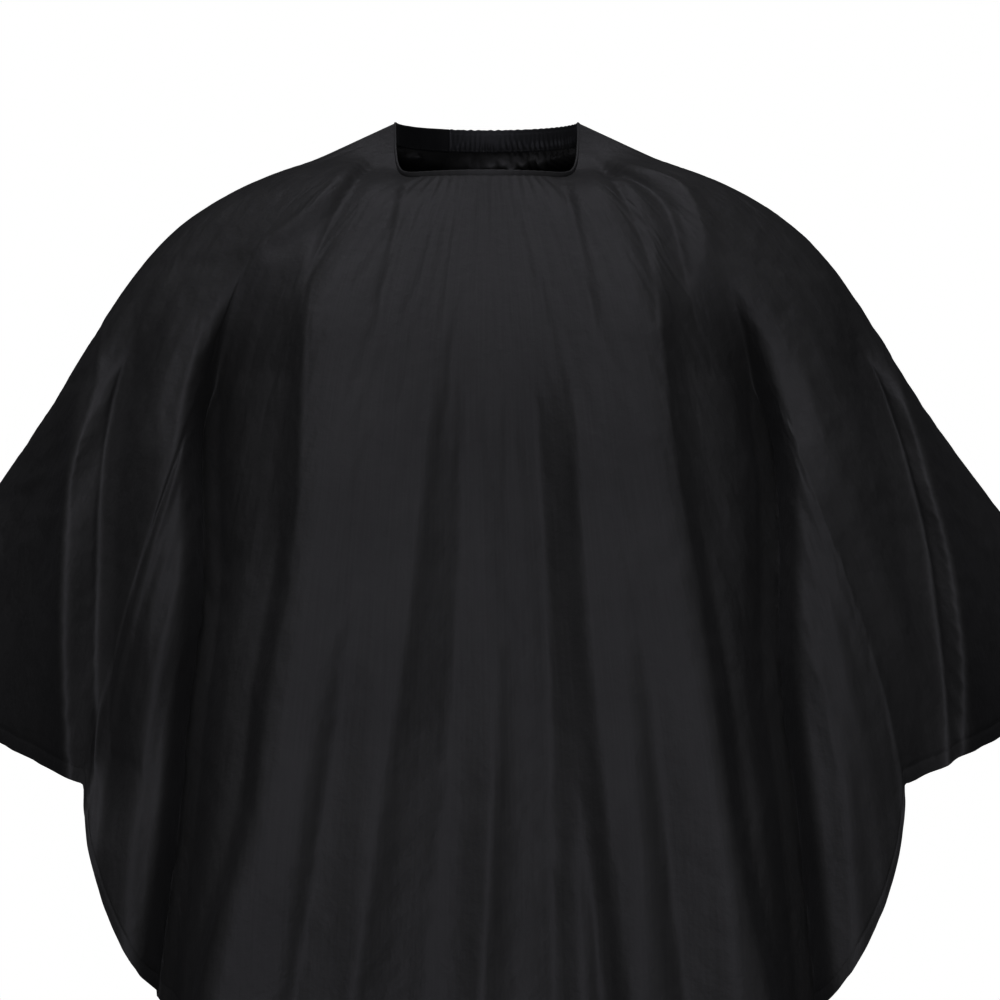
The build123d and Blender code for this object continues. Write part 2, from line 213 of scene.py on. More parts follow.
# Folds of the front. Each has the line that it follows as (x, z) points, its width towards the middle
# (or that width at its top and foot) and away from it, how far it stands out (or sinks in, below zero),
# and the heights where it begins and is full.
FOLDS = [
    # edges of the flat middle panel
    ([(-0.110, -0.05), (-0.130, -0.137), (-0.136, -0.25), (-0.150, -0.364), (-0.164, -0.437),
      (-0.176, -0.525), (-0.203, -0.613), (-0.222, -0.76)], 0.060, 0.012, 0.022, -0.08, -0.17),
    ([(0.100, -0.05), (0.126, -0.144), (0.133, -0.22), (0.151, -0.364), (0.161, -0.437),
      (0.172, -0.525), (0.190, -0.613), (0.222, -0.76)], 0.060, 0.012, 0.022, -0.08, -0.17),
    ([(-0.148, -0.25), (-0.162, -0.364), (-0.176, -0.437), (-0.188, -0.525), (-0.214, -0.613),
      (-0.234, -0.76)], 0.009, 0.012, -0.013, -0.24, -0.42),
    ([(0.145, -0.22), (0.163, -0.364), (0.173, -0.437), (0.184, -0.525), (0.202, -0.613),
      (0.234, -0.76)], 0.009, 0.012, -0.013, -0.24, -0.42),
    # deep valleys beside it, each with a narrow cleft under the next fold
    ([(-0.168, -0.10), (-0.190, -0.15), (-0.207, -0.218), (-0.210, -0.36), (-0.220, -0.437),
      (-0.228, -0.525), (-0.240, -0.613), (-0.253, -0.76)], (0.054, 0.018), 0.008, -0.036, -0.11, -0.20),
    ([(0.168, -0.10), (0.188, -0.15), (0.200, -0.20), (0.210, -0.26), (0.208, -0.40),
      (0.219, -0.525), (0.228, -0.613), (0.243, -0.76)], (0.054, 0.018), 0.008, -0.036, -0.11, -0.20),
    ([(-0.192, -0.15), (-0.210, -0.218), (-0.213, -0.36), (-0.223, -0.437), (-0.231, -0.525),
      (-0.243, -0.613), (-0.256, -0.76)], 0.016, 0.006, -0.050, -0.15, -0.25),
    ([(0.190, -0.15), (0.202, -0.20), (0.213, -0.26), (0.211, -0.40), (0.222, -0.525),
      (0.231, -0.613), (0.246, -0.76)], 0.016, 0.006, -0.050, -0.15, -0.25),
    # lobes under the arms
    ([(-0.228, -0.11), (-0.240, -0.18), (-0.246, -0.30), (-0.256, -0.45), (-0.270, -0.76)],
     0.034, 0.040, 0.016, -0.11, -0.26),
    ([(0.226, -0.11), (0.238, -0.18), (0.250, -0.30), (0.258, -0.45), (0.276, -0.76)],
     0.034, 0.040, 0.016, -0.11, -0.26),
    # outer valleys and lobes along the arms
    ([(-0.250, -0.115), (-0.266, -0.169), (-0.280, -0.23), (-0.287, -0.30), (-0.290, -0.50)],
     0.022, 0.016, -0.034, -0.12, -0.22),
    ([(0.250, -0.105), (0.274, -0.150), (0.293, -0.20), (0.318, -0.30), (0.328, -0.40),
      (0.332, -0.50)], 0.022, 0.016, -0.034, -0.12, -0.22),
    ([(-0.294, -0.17), (-0.310, -0.23), (-0.314, -0.36), (-0.318, -0.50)],
     0.012, 0.012, 0.012, -0.17, -0.25),
    ([(0.296, -0.16), (0.313, -0.20), (0.340, -0.30), (0.354, -0.50)], 0.012, 0.012, 0.012, -0.16, -0.24),
    ([(-0.352, -0.28), (-0.378, -0.38), (-0.390, -0.50)], 0.022, 0.012, -0.012, -0.27, -0.37),
    ([(0.376, -0.27), (0.394, -0.38), (0.400, -0.50)], 0.022, 0.012, -0.012, -0.27, -0.37),
    ([(-0.400, -0.34), (-0.424, -0.50)], 0.012, 0.020, 0.012, -0.33, -0.42),
    ([(0.410, -0.34), (0.430, -0.50)], 0.012, 0.020, 0.012, -0.33, -0.42),
    # soft folds of the middle panel
    ([(-0.034, -0.09), (-0.037, -0.144), (-0.046, -0.254), (-0.060, -0.364), (-0.082, -0.51),
      (-0.118, -0.76)], 0.017, 0.055, 0.011, -0.10, -0.34),
    ([(-0.016, -0.20), (-0.022, -0.33), (-0.034, -0.47), (-0.060, -0.76)],
     0.040, 0.012, -0.004, -0.20, -0.42),
    ([(0.066, -0.20), (0.068, -0.33), (0.080, -0.50), (0.110, -0.76)], 0.012, 0.050, 0.013, -0.17, -0.28),
    ([(0.036, -0.21), (0.040, -0.33), (0.042, -0.47), (0.046, -0.76)], 0.024, 0.012, -0.008, -0.19, -0.27),
    ([(0.006, -0.36), (0.000, -0.50), (-0.016, -0.76)], 0.016, 0.010, 0.007, -0.36, -0.56),
    ([(0.104, -0.33), (0.120, -0.50), (0.150, -0.76)], 0.010, 0.022, -0.009, -0.34, -0.52),
    ([(-0.100, -0.34), (-0.122, -0.50), (-0.160, -0.76)], 0.022, 0.010, -0.008, -0.36, -0.54),
    ([(0.062, -0.46), (0.074, -0.60), (0.086, -0.76)], 0.008, 0.014, -0.006, -0.46, -0.60),
]
# Where each wing turns away to the side, as (x, z) points, left then right.
WING_TURNS = [
    [(-0.300, -0.20), (-0.316, -0.26), (-0.318, -0.50)],
    [(0.316, -0.18), (0.336, -0.27), (0.350, -0.34), (0.352, -0.50)],
]
# Tight pull lines from the sides of the neck to where the front falls from the shoulders.
PULLS = [
    ([(-0.076, -0.012), (-0.087, -0.030), (-0.109, -0.065), (-0.134, -0.128)],
     0.012, 0.004, -0.0050, -0.006, -0.04),
    ([(-0.084, -0.012), (-0.105, -0.040), (-0.143, -0.087), (-0.168, -0.104)],
     0.010, 0.016, 0.0060, -0.020, -0.07),
    ([(0.076, -0.012), (0.083, -0.027), (0.126, -0.053), (0.1435, -0.095), (0.149, -0.120)],
     0.014, 0.005, -0.0070, -0.006, -0.035),
    ([(0.080, -0.008), (0.094, -0.027), (0.143, -0.053), (0.1585, -0.077), (0.164, -0.104)],
     0.007, 0.012, 0.0050, -0.026, -0.06),
    ([(0.078, -0.016), (0.098, -0.050), (0.118, -0.100), (0.126, -0.140)],
     0.008, 0.005, -0.0040, -0.010, -0.04),
    ([(-0.058, -0.034), (-0.066, -0.08), (-0.078, -0.14)], 0.008, 0.004, -0.0024, -0.03, -0.06),
    ([(0.056, -0.036), (0.066, -0.08), (0.080, -0.15)], 0.008, 0.004, -0.0024, -0.03, -0.06),
]
FOLD_FADE = 0.05  # length over which a fold fades at its foot
PULL_FADE = 0.03
HIDDEN_DEPTH = 0.018  # a deeper valley's bottom lies under the next fold
HIDDEN_DEEPER = 0.040  # added to that away from the arms
HIDDEN_SHIFT = 0.40  # how far the bottom moves, as a share of its further depth
# The arms are held a little back, so the cloth outside each turn faces sideways.
WING_BACK = 0.124
WING_BEND = 0.038  # how far outside the turn most of it is reached
WING_EARLY = 0.006  # how far inside the turn it begins
SIGHT_LEVEL = -0.29  # the height where the line of sight is level
LEAN = 0.006  # how far the cape hangs to one side
WAVE = 0.006  # depth of the soft waves round the cloth
FLUTE = 0.050  # depth of the flutes behind
PLEAT = 0.0050  # gathers that the elastic makes in the back
PUCKER = 0.0012  # small ones under the front binding
BULGE = 0.015  # how far the cloth bulges into the neck under the band
BULGE_DOWN, BULGE_HALF = 0.026, 0.015  # where it does, from the neck's edge, and over what length


def line_at(line, z):
    """The x of a smooth line through (x, z) points, at other heights."""
    curve = smooth_line(line)[::-1]
    return np.interp(z, curve[:, 1], curve[:, 0])


def fold_depth(x, z, folds, fade):
    """How far the folds of a list stand out at each place."""
    depth = np.zeros_like(x)
    for line, inner, outer, amount, begins, full in folds:
        top, foot = -line[0][1], -line[-1][1]
        away = (x - line_at(line, z)) * np.sign(line[0][0])
        towards_middle = np.interp(-z, (top, foot), inner) if isinstance(inner, tuple) else inner
        width = np.where(away > 0, outer, towards_middle)
        part = rise(-z, -begins, -full) * (1 - rise(-z, foot - 0.4 * fade, foot + fade))
        depth += amount * np.exp(-(np.sqrt((away / width) ** 2 + 0.008) ** 1.5)) * part
    return depth


def ripples(seed, u, v, count, shortest, longest):
    """Soft uneven waves round the cloth."""
    rng = np.random.default_rng(seed)
    total = np.zeros_like(u)
    for _ in range(count):
        waves = rng.uniform(shortest, longest)
        lean = rng.uniform(-1.2, 1.2)
        phase, where = rng.uniform(0, 2 * math.pi), rng.uniform(0, 2 * math.pi)
        patch = 0.5 + 0.5 * np.sin(u * rng.uniform(1, 3) + where + 2 * v)
        total += np.sin(u * waves + lean * v + phase) * patch
    return total / count


def smooth_panel(directions):
    """The panel laid smoothly over the shoulders and arms: rows by columns by xyz."""
    parts = np.linspace(0, 1, ROWS + 1)
    p = np.zeros((ROWS + 1, COLUMNS + 1, 3))
    for j, u in enumerate(directions):
        line = side_line(u)
        run = np.r_[0, np.cumsum(np.hypot(*np.diff(line, axis=0).T))]
        reach = np.interp(parts * run[-1], run, line[:, 0])
        p[:, j, 0] = reach * math.cos(u)
        p[:, j, 1] = reach * math.sin(u)
        p[:, j, 2] = np.interp(parts * run[-1], run, line[:, 1])
    return p


def set_wings_back(p, x, y, z):
    """Sets the wings back along the line of sight, so that their outline stays as seen in front."""
    for turn in WING_TURNS:
        away = np.clip((x - line_at(turn, z)) * np.sign(turn[0][0]) + WING_EARLY, 0, 0.10)
        set_back = WING_BACK * (1 - np.exp(-away / WING_BEND)) * rise(-z, 0.14, 0.30)
        set_back = set_back * (1 - 0.9 * rise(y, 0.0, 0.08))
        p[..., 1] += set_back
        p[..., 0] += x * set_back / EYE_DISTANCE * (1 - rise(abs(x), 0.40, 0.46))
        p[..., 2] += (z - SIGHT_LEVEL) * set_back / EYE_DISTANCE


def drape_front(p, x, y, z):
    """Adds the front's folds and pull lines, and the wings' turn to the side."""
    front = rise(-y, 0.0, 0.045)
    folded = fold_depth(x, z, FOLDS, FOLD_FADE) * front
    p[..., 1] -= folded
    hidden = HIDDEN_DEPTH + HIDDEN_DEEPER * (1 - rise(abs(x), 0.245, 0.265))
    p[..., 0] += np.sign(x) * HIDDEN_SHIFT * np.maximum(-folded - hidden, 0)
    set_wings_back(p, x, y, z)
    p[..., 0] += LEAN * rise(-z, 0.16, 0.50)
    # the hem stays level where folds stand out, because the cloth is cut that way
    p[..., 2] -= (z - SIGHT_LEVEL) * folded / EYE_DISTANCE * rise(-z, 0.30, 0.42)
    pull = fold_depth(x, z, PULLS, PULL_FADE) * front
    p[..., 1] -= 0.6 * pull
    p[..., 2] += 0.8 * pull


def gather_neck(p, angle, down, from_slit):
    """Adds the gathers and puckers round the neck, and the cloth's bulge inwards under the band."""
    from_neck = down * 0.60
    behind = rise(np.sin(angle), 0.0, 0.15)
    gathered = behind * rise(np.cos(angle), math.cos(SPLIT), math.cos(SPLIT) + 0.12)
    pleats = ripples(5, angle * 9, down * 3, 4, 5, 8) * 1.7
    pleats *= from_slit * PLEAT * gathered * rise(from_neck, -0.004, 0.010) * np.exp(-from_neck / 0.045)
    puckers = ripples(6, angle * 8, down * 2, 5, 5, 9) * PUCKER * rise(-np.sin(angle), 0.0, 0.2)
    puckers *= rise(from_neck, 0.0, 0.006) * np.exp(-from_neck / 0.035)
    bulge = BULGE * behind * np.exp(-(((from_neck - BULGE_DOWN) / BULGE_HALF) ** 2))
    bulge *= 0.4 + from_slit * (0.6 + 0.9 * ripples(9, angle * 4, down * 60, 5, 3, 7))
    lift = pleats + puckers
    p[..., 0] += (lift * 0.5 - bulge) * np.cos(angle)
    p[..., 1] += (lift * 0.5 - bulge) * np.sin(angle)
    p[..., 2] += lift


def panel_points():
    """The panel with its folds, as it is laid over the shoulders and arms."""
    directions = panel_directions()
    p = smooth_panel(directions)
    x, y, z = p[..., 0].copy(), p[..., 1].copy(), p[..., 2].copy()
    along = np.linspace(0, 2 * math.pi, COLUMNS + 1)[None, :] * np.ones_like(x)
    down = np.linspace(0, 1, ROWS + 1)[:, None] * np.ones_like(x)
    angle = np.unwrap(np.array(directions))[None, :] * np.ones_like(x)
    from_slit = rise(np.minimum(along, 2 * math.pi - along), 0.0, 0.25)
    drape_front(p, x, y, z)
    waves = ripples(3, along, down, 9, 26, 60) * rise(down, 0.10, 0.9) * from_slit
    flutes = ripples(8, along, down, 5, 14, 24) * rise(down, 0.18, 0.9) * from_slit
    p[..., 1] += waves * WAVE * np.sign(y) * rise(abs(y), 0, 0.04)
    p[..., 1] += flutes * FLUTE * rise(y, 0.0, 0.05)
    gather_neck(p, angle, down, from_slit)
    return p


def grid_faces(rows, columns, welded_from):
    """Quads of a grid whose last column joins its first one from a row down."""
    def index(i, j):
        return i * (columns + 1) + (0 if j == columns and i >= welded_from else j)

    return [
        (index(i, j), index(i + 1, j), index(i + 1, j + 1), index(i, j + 1))
        for i in range(rows)
        for j in range(columns)
    ]


def make_object(name, points, faces, smooth=True):
    """A mesh object in the scene."""
    mesh = bpy.data.meshes.new(name)
    mesh.from_pydata([tuple(map(float, q)) for q in points], [], faces)
    mesh.update()
    made = bpy.data.objects.new(name, mesh)
    bpy.context.scene.collection.objects.link(made)
    if smooth:
        mesh.shade_smooth()
    return made


def softened(grid, down, across):
    """A grid blurred along its rows and columns."""
    for axis, width in ((0, down), (1, across)):
        offsets = np.arange(-3 * width, 3 * width + 1)
        weights = np.exp(-((offsets / width) ** 2))
        n = grid.shape[axis]
        total = 0
        for offset, weight in zip(offsets, weights):
            total = total + weight * np.take(grid, np.clip(np.arange(n) + offset, 0, n - 1), axis=axis)
        grid = total / weights.sum()
    return grid


SETTLING_FRAMES = 16
CREASE_SHARE = 0.55  # how much of the simulated creases is kept


def hang(points):
    """Lets the cloth settle under its own weight by simulation, and returns its points with the creases."""
    rows, columns = points.shape[0] - 1, points.shape[1] - 1
    slit_row = int(np.argmax(points[:, 0, 2] < -SLIT))
    faces = grid_faces(rows, columns, slit_row)
    cloth = make_object("settling", points.reshape(-1, 3), faces, smooth=False)
    group = cloth.vertex_groups.new(name="hold")
    for i in range(rows + 1):
        t = i / rows
        hold = 1.0 if i == 0 else max(0.20, 0.7 * math.exp(-t * 12))
        group.add([i * (columns + 1) + j for j in range(columns + 1)], hold, "REPLACE")
    loose = [i * (columns + 1) + columns for i in range(slit_row, rows + 1)]
    group.add(loose, 1.0, "REPLACE")
    modifier = cloth.modifiers.new("cloth", "CLOTH")
    settings = modifier.settings
    settings.vertex_group_mass = "hold"
    settings.quality = 5
    settings.mass = 0.12
    settings.air_damping = 2
    settings.tension_stiffness = settings.compression_stiffness = 25
    settings.shear_stiffness = 8
    settings.bending_stiffness = 0.3
    settings.tension_damping = settings.compression_damping = 10
    settings.shear_damping = 8
    settings.shrink_min = -0.008
    modifier.collision_settings.use_collision = False
    modifier.point_cache.frame_end = SETTLING_FRAMES
    for f in range(1, SETTLING_FRAMES + 1):
        bpy.context.scene.frame_set(f)
    shown = cloth.evaluated_get(bpy.context.evaluated_depsgraph_get())
    settled = np.array([v.co for v in shown.data.vertices]).reshape(points.shape)
    settled[slit_row:, columns] = settled[slit_row:, 0]
    bpy.data.objects.remove(cloth)
    moved = settled - points
    return points + CREASE_SHARE * (moved - softened(moved, 5, 14))


def between(grid, axis, places):
    """Reads a grid at fractional places along an axis, by a smooth curve through its points."""
    n = grid.shape[axis] - 1
    k = np.clip(np.floor(places).astype(int), 0, n - 1)
    t = (places - k).reshape((-1, 1, 1) if axis == 0 else (1, -1, 1))
    a, b, c, d = (np.take(grid, np.clip(k + o, 0, n), axis=axis) for o in (-1, 0, 1, 2))
    doubled = 2 * b + (c - a) * t + (2 * a - 5 * b + 4 * c - d) * t**2 + (3 * b - a - 3 * c + d) * t**3
    return 0.5 * doubled


def grid_normals(grid):
    """Outward normals of the panel's grid."""
    down = np.gradient(grid, axis=0)
    round_ = np.gradient(grid, axis=1)
    n = np.cross(down, round_)
    return n / np.maximum(np.linalg.norm(n, axis=2, keepdims=True), 1e-9)


HEM = 0.012  # width of the folded hem
HEM_THICK = 0.0009
HEM_DENT = 0.0006  # how deep its sewn line sinks in
HEM_ROWS = (0.030, 0.022, 0.016, 0.0135, HEM, 0.0105, 0.007, 0.0035, 0.0012, 0)  # rows above the edge
TURNED_ROWS = (0.0012, 0.0035, 0.007, 0.0105, HEM)  # rows of the part turned inside
OVERLAP = 0.0080  # how far one edge of the slit lies over the other
OVERLAP_LIFT = 0.0018
OVERLAP_WIDTH = 0.020


def finished_panel(settled):
    """Adds the fine rows, the slit's overlap and the folded hem.
    Returns the grid, its normals and its rows' distances down the cloth."""
    rows, columns = settled.shape[0] - 1, settled.shape[1] - 1
    length = np.linalg.norm(np.diff(settled, axis=0), axis=2).sum(0).mean()
    near_hem = rows - rows / length * np.array(HEM_ROWS)
    fine = np.r_[np.arange(0, 7, 0.34), np.arange(7, near_hem[0] - 0.3, 0.6), near_hem]
    grid = between(between(settled, 0, fine), 1, np.arange(0, columns + 0.01, 0.5))
    normal = grid_normals(grid)
    open_part = np.clip((grid[:, :1, 2] + SLIT) / 0.02, 0, 1)[..., None]
    sideways = grid[:, [4]] - grid[:, [0]]
    sideways /= np.linalg.norm(sideways, axis=2, keepdims=True)
    away = np.linalg.norm(grid - grid[:, [0]], axis=2, keepdims=True)
    own_side = (np.arange(grid.shape[1]) < grid.shape[1] // 2)[None, :, None]
    over = np.exp(-((away / OVERLAP_WIDTH) ** 2)) * open_part * own_side
    grid = grid + (normal * OVERLAP_LIFT - sideways * OVERLAP) * over
    normal = grid_normals(grid)
    from_hem = (rows - fine)[:, None, None] * length / rows
    grid = grid - normal * HEM_DENT * np.exp(-(((from_hem - HEM) / 0.0012) ** 2))
    turned = []
    for back in TURNED_ROWS:
        k = int(np.argmin(abs(from_hem[:, 0, 0] - back)))
        turned.append(grid[k] - normal[k] * HEM_THICK)
    return np.concatenate([grid, np.array(turned)]), normal, fine / rows * length


# ---- materials ----
def new_material(name):
    material = bpy.data.materials.new(name)
    material.use_nodes = True
    return material, material.node_tree.nodes, material.node_tree.links


def add_node(nodes, kind, **values):
    """A shader node with its values. A value that is another node's output is linked."""
    node = nodes.new("ShaderNode" + kind)
    for key, value in values.items():
        if isinstance(value, bpy.types.NodeSocket):
            nodes.id_data.links.new(value, node.inputs[key])
        elif key in node.inputs:
            node.inputs[key].default_value = value
        else:
            setattr(node, key, value)
    return node


def set_inputs(node, **values):
    """Sets inputs, with _ for the spaces in their names."""
    for key, value in values.items():
        node.inputs[key.replace("_", " ")].default_value = value


def add_ramp(nodes, source, color, dark, light, low=0.0, high=1.0):
    """A ramp from a darker to a lighter shade of a colour."""
    ramp = add_node(nodes, "ValToRGB", Fac=source)
    for k, (place, shade) in enumerate(((low, dark), (high, light))):
        ramp.color_ramp.elements[k].position = place
        ramp.color_ramp.elements[k].color = (*[c * shade for c in color], 1)
    return ramp.outputs["Color"]


def cloth_material(name, color, uv=False, thread=0.0004, roughness=0.54, sheen=0.02, crumple=0.0008):
    """Plain-woven polyester: crossed threads, uneven yarn, faint crumples and a soft satin sheen."""
    material, nodes, links = new_material(name)
    shader = nodes["Principled BSDF"]
    place = add_node(nodes, "TexCoord")
    where, solid = place.outputs["UV" if uv else "Object"], place.outputs["Object"]
    scale = 2 * math.pi / (20 * thread)
    warp = add_node(nodes, "TexWave", Vector=where, Scale=scale, Distortion=0.4)
    weft = add_node(nodes, "TexWave", Vector=where, Scale=scale, Distortion=0.4)
    warp.bands_direction = "X"
    weft.bands_direction = "Y" if uv else "Z"
    crossed = add_node(nodes, "Math", operation="MAXIMUM")
    links.new(warp.outputs["Fac"], crossed.inputs[0])
    links.new(weft.outputs["Fac"], crossed.inputs[1])
    stretch = add_node(nodes, "Mapping", Vector=where, Scale=(420, 14, 60))
    yarn = add_node(nodes, "TexNoise", Vector=stretch.outputs["Vector"], Scale=1.0, Detail=3.0)
    cloud = add_node(nodes, "TexNoise", Vector=solid, Scale=9.0, Detail=4.0, Roughness=0.55)
    mixed = add_node(nodes, "Math", operation="MULTIPLY_ADD")
    mixed.inputs[1].default_value = 0.5
    links.new(yarn.outputs["Fac"], mixed.inputs[0])
    links.new(cloud.outputs["Fac"], mixed.inputs[2])
    uneven = mixed.outputs["Value"]
    links.new(add_ramp(nodes, uneven, color, 0.82, 1.20, 0.45, 1.05), shader.inputs["Base Color"])
    gloss = add_node(nodes, "MapRange", Value=uneven)
    set_inputs(gloss, From_Min=0.45, From_Max=1.05, To_Min=roughness - 0.04, To_Max=roughness + 0.05)
    links.new(gloss.outputs["Result"], shader.inputs["Roughness"])
    creases = add_node(nodes, "TexNoise", Vector=solid, Scale=38.0, Detail=5.0, Roughness=0.6)
    height = creases.outputs["Fac"]
    crumpled = add_node(nodes, "Bump", Height=height, Strength=0.5, Distance=crumple)
    height = crossed.outputs["Value"]
    woven = add_node(nodes, "Bump", Height=height, Strength=0.5, Distance=0.00005)
    links.new(crumpled.outputs["Normal"], woven.inputs["Normal"])
    links.new(woven.outputs["Normal"], shader.inputs["Normal"])
    set_inputs(shader, Sheen_Weight=sheen, Sheen_Roughness=0.35, Sheen_Tint=(0.90, 0.90, 1.0, 1))
    set_inputs(shader, Specular_IOR_Level=0.20, Specular_Tint=(0.88, 0.86, 1.0, 1))
    return material


def thread_material(name, color):
    """Twisted sewing thread."""
    material, nodes, links = new_material(name)
    shader = nodes["Principled BSDF"]
    solid = add_node(nodes, "TexCoord").outputs["Object"]
    ply = add_node(nodes, "TexWave", Vector=solid, Scale=900.0, Distortion=1.0)
    ply.bands_direction = "DIAGONAL"
    links.new(add_ramp(nodes, ply.outputs["Fac"], color, 0.6, 1.5), shader.inputs["Base Color"])
    bump = add_node(nodes, "Bump", Height=ply.outputs["Fac"], Strength=0.6, Distance=0.00006)
    links.new(bump.outputs["Normal"], shader.inputs["Normal"])
    set_inputs(shader, Roughness=0.5)
    return material


CAPE_BLACK = (0.0432, 0.0429, 0.0450)
cape_cloth = cloth_material("cape_cloth", CAPE_BLACK, uv=True, crumple=0.0042)
band_cloth = cloth_material("band_cloth", (0.0250, 0.0254, 0.0290), roughness=0.5, crumple=0.0004)
# painted shade: the band's own fabric in a darker copy, standing in for the shade that falls on the left
# band end inside the neck
painted_shade_end_cloth = cloth_material("band_end_painted_shade_cloth", (0.0110, 0.0112, 0.0126), roughness=0.5, crumple=0.0004)
thread = thread_material("black_thread", (0.020, 0.020, 0.022))

# ---- cape panel ----
laid = panel_points()
settled = hang(laid)
panel_grid, panel_normal, panel_down = finished_panel(settled)
panel_rows, panel_columns = panel_grid.shape[0] - 1, panel_grid.shape[1] - 1
slit_row = int(np.argmax(panel_grid[:, 0, 2] < -SLIT))
panel_faces = grid_faces(panel_rows, panel_columns, slit_row)
cape = make_object("cape_cloth_panel", panel_grid.reshape(-1, 3), panel_faces)
uv_layer = cape.data.uv_layers.new(name="cut")
hem_edge = panel_grid[len(panel_down) - 1]
hem_run = np.r_[0, np.cumsum(np.linalg.norm(np.diff(hem_edge, axis=0), axis=1))]
for loop in cape.data.loops:
    i, j = divmod(loop.vertex_index, panel_columns + 1)
    uv_layer.data[loop.index].uv = (float(hem_run[j]), float(-panel_down[min(i, len(panel_down) - 1)]))
cape.data.materials.append(cape_cloth)
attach(cape, "cape")
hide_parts("cape_panel")


# ---- thread, strips and tapes ----
def finish_piece(piece, material, body, node):
    """Gives a piece its material, and puts it on a body in place of a CAD node."""
    piece.data.materials.append(material)
    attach(piece, body)
    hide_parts(node)


def stitches(name, places, length=0.0022, thick=0.00034):
    """Sewn thread: short rounded stitches, each given by its middle, its direction and the way out of
    the cloth."""
    points, faces = [], []
    for middle, along, out in places:
        along = along / np.linalg.norm(along)
        out = out - along * np.dot(out, along)
        out = out / np.linalg.norm(out)
        side = np.cross(along, out)
        first = len(points)
        for t, size, sink in ((-0.5, 0.4, -0.7), (-0.3, 1, 0), (0.3, 1, 0), (0.5, 0.4, -0.7)):
            centre = middle + along * t * length + out * sink * thick
            for k in range(5):
                a = 2 * math.pi * k / 5
                points.append(centre + (out * math.cos(a) + side * math.sin(a)) * thick / 2 * size)
        for ring in range(3):
            for k in range(5):
                low_k, next_k = first + ring * 5 + k, first + ring * 5 + (k + 1) % 5
                faces.append((low_k, next_k, next_k + 5, low_k + 5))
        faces.append(tuple(first + k for k in range(5))[::-1])
        faces.append(tuple(first + 15 + k for k in range(5)))
    return make_object(name, points, faces)


def sew(name, places, body, node, **size):
    """Stitches in place of a CAD node of sewing thread."""
    finish_piece(stitches(name, places, **size), thread, body, node)


def sewn_line(points, outs, pitch=0.003, lift=0.0001):
    """Places for stitches along a line of points on the cloth."""
    run = np.r_[0, np.cumsum(np.linalg.norm(np.diff(points, axis=0), axis=1))]
    at = np.arange(pitch / 2, run[-1], pitch)
    middle = np.array([np.interp(at, run, points[:, k]) for k in range(3)]).T
    ahead = np.array([np.interp(at + pitch / 4, run, points[:, k]) for k in range(3)]).T
    behind = np.array([np.interp(at - pitch / 4, run, points[:, k]) for k in range(3)]).T
    out = np.array([np.interp(at, run, outs[:, k]) for k in range(3)]).T
    return [(m + o * lift, a - b, o) for m, a, b, o in zip(middle, ahead, behind, out)]


def neck_line(radius, level, start, end, outward=1):
    """Places for stitches along the neck. Level is their height, or a function of the angle."""
    angles = np.linspace(start, end, 240)
    z = [level(a) if callable(level) else level for a in angles]
    points = np.c_[radius * np.cos(angles), radius * np.sin(angles), z]
    return sewn_line(points, outward * np.c_[np.cos(angles), np.sin(angles), 0 * angles])


def arc_of(node):
    """Inner and outer radius, first and last angle, and lowest and highest z of a strip that lies behind
    the left shoulder."""
    lo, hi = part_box(node)
    outer, inner = np.linalg.solve([[lo.x**2, lo.y**2], [hi.y**2, hi.x**2]], [1, 1]) ** -0.5
    return inner, outer, math.acos(hi.x / inner), math.acos(lo.x / outer), lo.z, hi.z


def folded_loop(inner, outer, low, high, steps):
    """Loop of (reach, z) points round a folded strip: two flat faces and two rounded edges."""
    half, middle = (outer - inner) / 2, (inner + outer) / 2
    z = np.linspace(high - half, low + half, steps)
    turn = np.linspace(0, math.pi, 6)[1:-1]
    loop = [(outer, v) for v in z]
    loop += [(middle + half * math.cos(a), low + half - half * math.sin(a)) for a in turn]
    loop += [(inner, v) for v in z[::-1]]
    loop += [(middle - half * math.cos(a), high - half + half * math.sin(a)) for a in turn]
    return np.array(loop)


def even(*size):
    """The size of a strip that is the same all along."""
    return lambda angle: size


def strip(name, start, end, size_at, steps=8, step=0.001, shift=None):
    """A folded strip along the neck with rounded ends. size_at gives (inner, outer, low, high) at an
    angle."""
    inner, outer = size_at(start)[:2]
    end_turn = (outer - inner) / 2 / outer
    inside = np.linspace(start + end_turn, end - end_turn, max(4, int((end - start) * outer / step)))
    angles = np.r_[start, start + end_turn * 0.3, inside, end - end_turn * 0.3, end]
    n = len(angles)
    squeeze = np.ones(n)
    squeeze[[0, 1, -2, -1]] = 0.3, 0.75, 0.75, 0.3
    points = []
    for angle, part in zip(angles, squeeze):
        inner, outer, low, high = size_at(angle)
        loop = folded_loop(inner, outer, low, high, steps)
        if shift is not None:
            loop = loop + shift(angle, loop, (inner + outer) / 2)
        loop[:, 0] = (inner + outer) / 2 + (loop[:, 0] - (inner + outer) / 2) * part
        points += [(r * math.cos(angle), r * math.sin(angle), z) for r, z in loop]
    m = len(loop)
    faces = [
        (k * m + i, k * m + (i + 1) % m, (k + 1) * m + (i + 1) % m, (k + 1) * m + i)
        for k in range(n - 1)
        for i in range(m)
    ]
    faces += [tuple(range(m))[::-1], tuple((n - 1) * m + i for i in range(m))]
    return make_object(name, points, faces)


FILAMENT = 0.00009  # radius of a hook's or loop's filament


